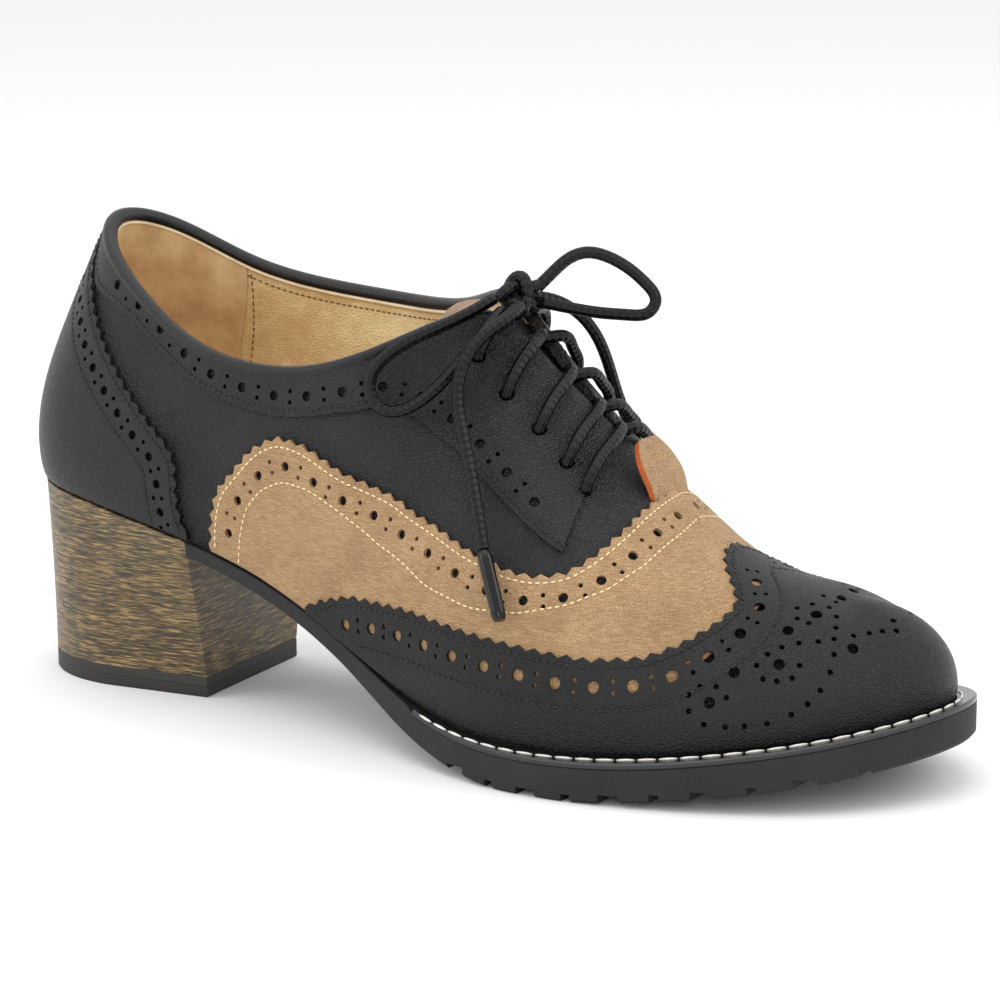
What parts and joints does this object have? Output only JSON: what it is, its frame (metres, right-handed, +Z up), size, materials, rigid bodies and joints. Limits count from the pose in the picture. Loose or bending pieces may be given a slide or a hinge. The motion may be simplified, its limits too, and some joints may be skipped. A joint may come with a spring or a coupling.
{
  "type": "spectator shoe",
  "caption": "Two-tone laced dress shoe with a winged toe cap, a tan vamp, perforated bands, a lugged sole and a stacked block heel.",
  "frame": {"origin": "on the floor, under the middle of the heel, at the ground face of the top lift", "axes": "+X towards the toe, -Y to the outer side of the foot, +Z up; the shoe stands on its heel and forefoot at Z 0"},
  "size_m": [0.2428, 0.0899, 0.113],
  "materials": {
    "black_leather": "fine grain, low sheen",
    "tan_leather": "smooth, low sheen",
    "lining_leather": "smooth, matt",
    "black_rubber": "matt",
    "black_welt": "glossy",
    "stacked_heel": "dark stacked layers, satin",
    "waxed_cord": "waxed round braid",
    "aglet_plastic": "glossy"
  },
  "bodies": {
    "root": {"upper": "black_leather", "vamp": "tan_leather", "toe_cap": "black_leather", "heel_counter": "black_leather", "eyestay_outer": "black_leather", "eyestay_inner": "black_leather", "tongue": "black_leather", "throat_tab": "tan_leather", "insole": "lining_leather", "outsole": "black_rubber", "welt": "black_welt", "heel_block": "stacked_heel", "top_lift": "black_rubber", "lace_crossings": "waxed_cord", "lace_knot": "waxed_cord", "lace_loop_outer": "waxed_cord", "lace_loop_inner": "waxed_cord", "lace_end_outer": "waxed_cord", "lace_end_inner": "waxed_cord", "aglet_outer": "aglet_plastic", "aglet_inner": "aglet_plastic"}
  },
  "joints": []
}
